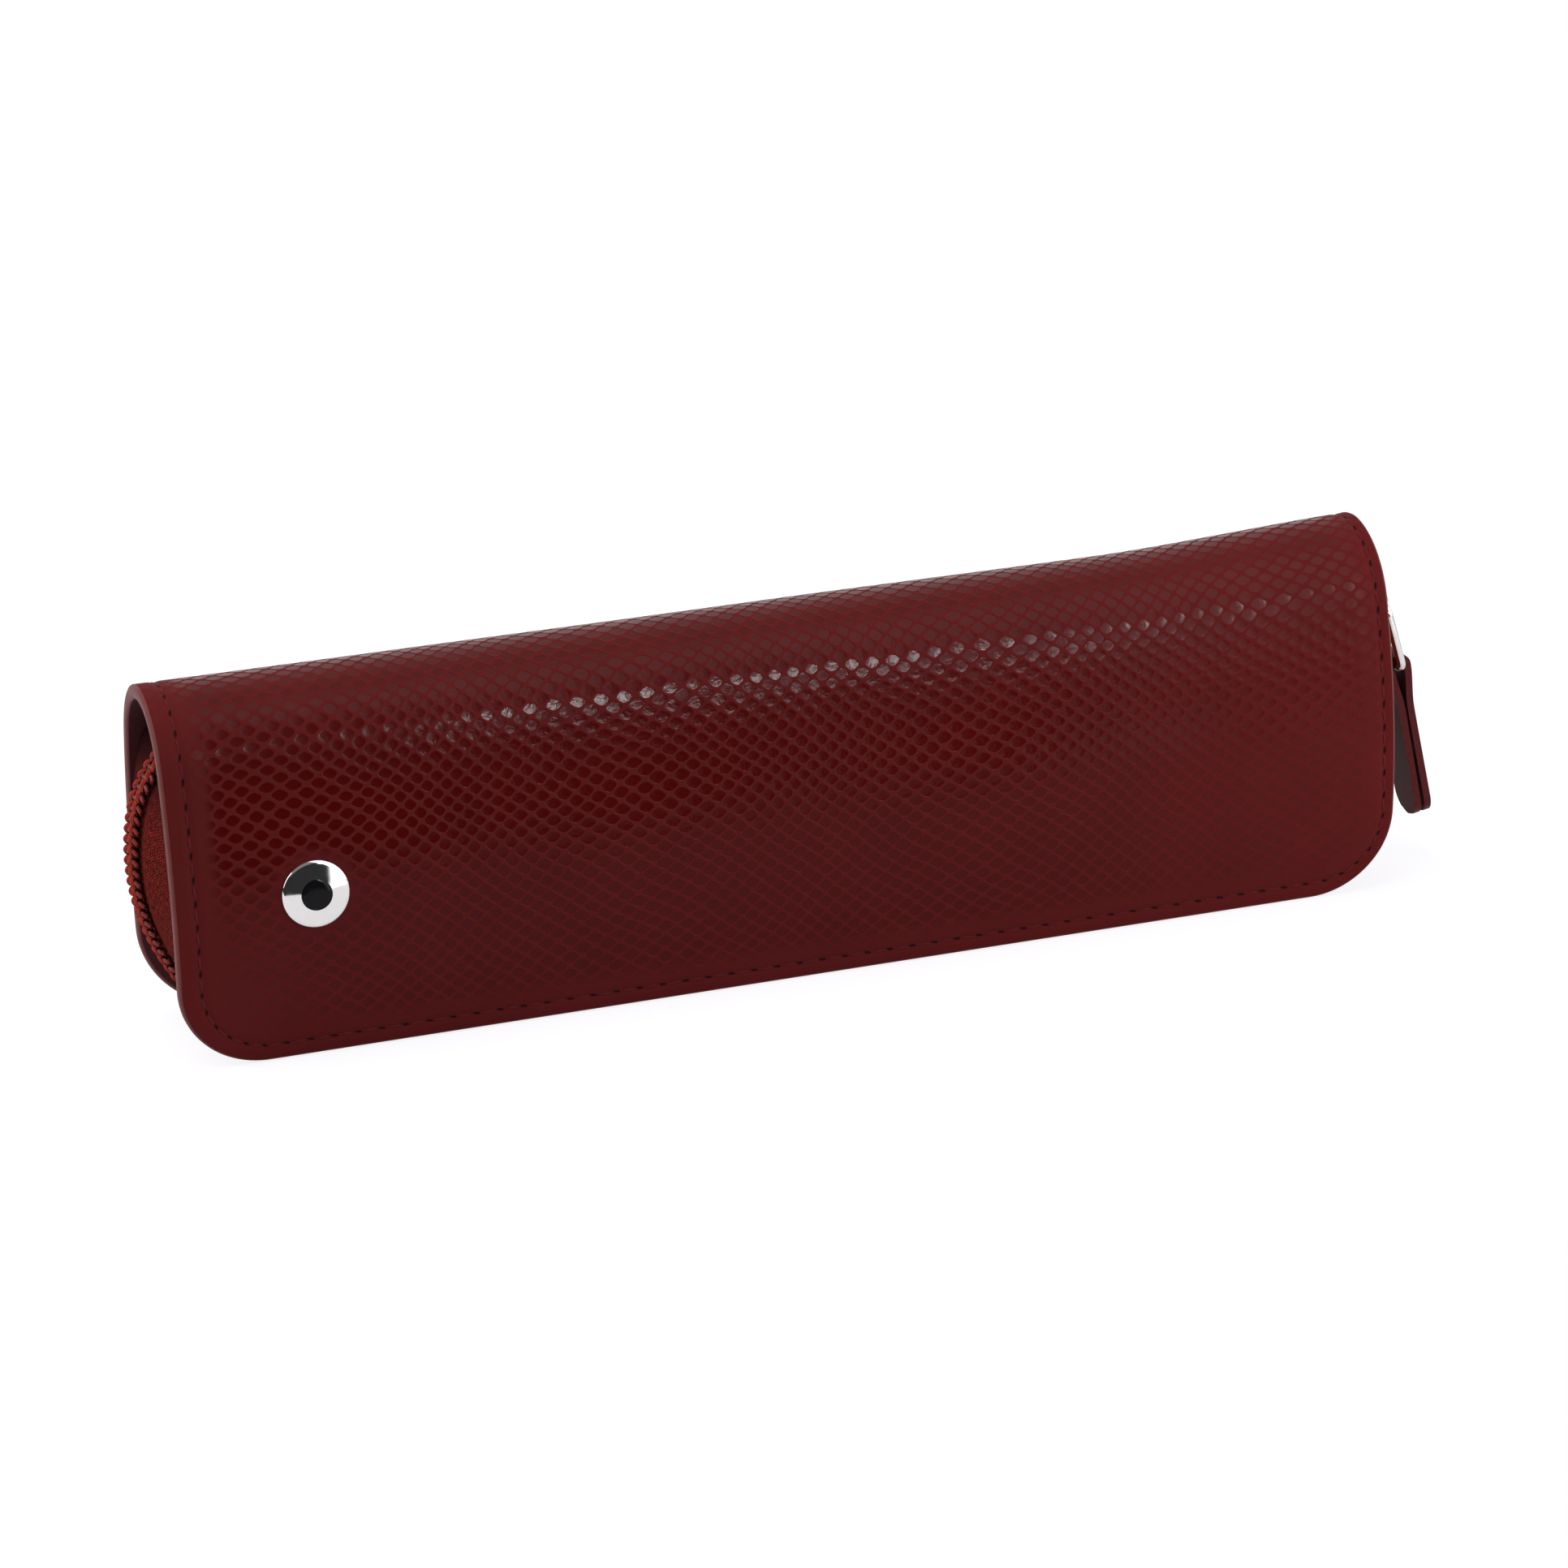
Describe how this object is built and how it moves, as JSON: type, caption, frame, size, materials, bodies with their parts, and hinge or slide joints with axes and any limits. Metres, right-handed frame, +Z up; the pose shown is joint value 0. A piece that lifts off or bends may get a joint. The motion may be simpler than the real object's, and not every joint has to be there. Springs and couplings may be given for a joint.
{
  "type": "zipped pen case",
  "caption": "Zipped leather pen case with a rounded spine that folds open, inner pen loops, and a zip slider with a leather pull.",
  "frame": {"origin": "middle of the whole object's footprint, on the surface that it stands on", "axes": "+X along the case towards the zip pull, +Y from the front wall to the back wall, +Z up towards the spine"},
  "size_m": [0.1728, 0.026, 0.046],
  "materials": {
    "outer_leather": "embossed, glossy",
    "lining_leather": "matte",
    "pull_leather": "smooth, glossy",
    "stiffener": "plain fibre board",
    "zip_tape": "woven",
    "zip_coil": "satin",
    "zip_metal": "polished",
    "emblem_metal": "polished",
    "emblem_enamel": "glossy"
  },
  "bodies": {
    "back": {"back_leather": "outer_leather", "back_board": "stiffener", "back_lining": "lining_leather", "back_zip_tape": "zip_tape", "back_zip_stops": "zip_metal", "back_zip_teeth": "zip_coil", "back_zip_teeth_slider_run": "zip_coil", "pen_loop_band": "lining_leather"},
    "spine": {"spine_leather": "outer_leather", "spine_lining": "lining_leather"},
    "front": {"front_leather": "outer_leather", "front_board": "stiffener", "front_lining": "lining_leather", "front_zip_tape": "zip_tape", "front_zip_stops": "zip_metal", "front_zip_teeth": "zip_coil", "front_zip_teeth_slider_run": "zip_coil", "emblem_disc": "emblem_metal", "emblem_inlay": "emblem_enamel", "emblem_washer": "zip_metal"},
    "slider": {"slider_body": "zip_metal", "slider_bridge": "zip_metal"},
    "link": {"pull_link": "zip_metal"},
    "strap": {"pull_strap": "pull_leather"}
  },
  "joints": [
    {"name": "spine_fold", "type": "hinge", "parent": "back", "child": "spine", "pos_m": [-0.00361, 0.00743, 0.04292], "axis": [-1, 0, 0], "range_deg": [0, 90]},
    {"name": "front_fold", "type": "hinge", "parent": "spine", "child": "front", "pos_m": [-0.00361, -0.00743, 0.04292], "axis": [-1, 0, 0], "range_deg": [0, 90]},
    {"name": "slider_travel", "type": "hinge", "parent": "back", "child": "slider", "pos_m": [0.05019, 0, 0.024], "axis": [0, 1, 0], "range_deg": [0, 40], "deforming": ["back_zip_teeth_slider_run", "front_zip_teeth_slider_run"]},
    {"name": "link_swing", "type": "hinge", "parent": "slider", "child": "link", "pos_m": [0.07895, 0, 0.0356], "axis": [0, -1, 0], "range_deg": [0, 120]},
    {"name": "strap_swing", "type": "hinge", "parent": "link", "child": "strap", "pos_m": [0.08129, 0, 0.027], "axis": [0, -1, 0], "range_deg": [-4, 60]}
  ],
  "couplings": [
    {"joint": "front_fold", "follows": "spine_fold", "ratio": 1}
  ]
}
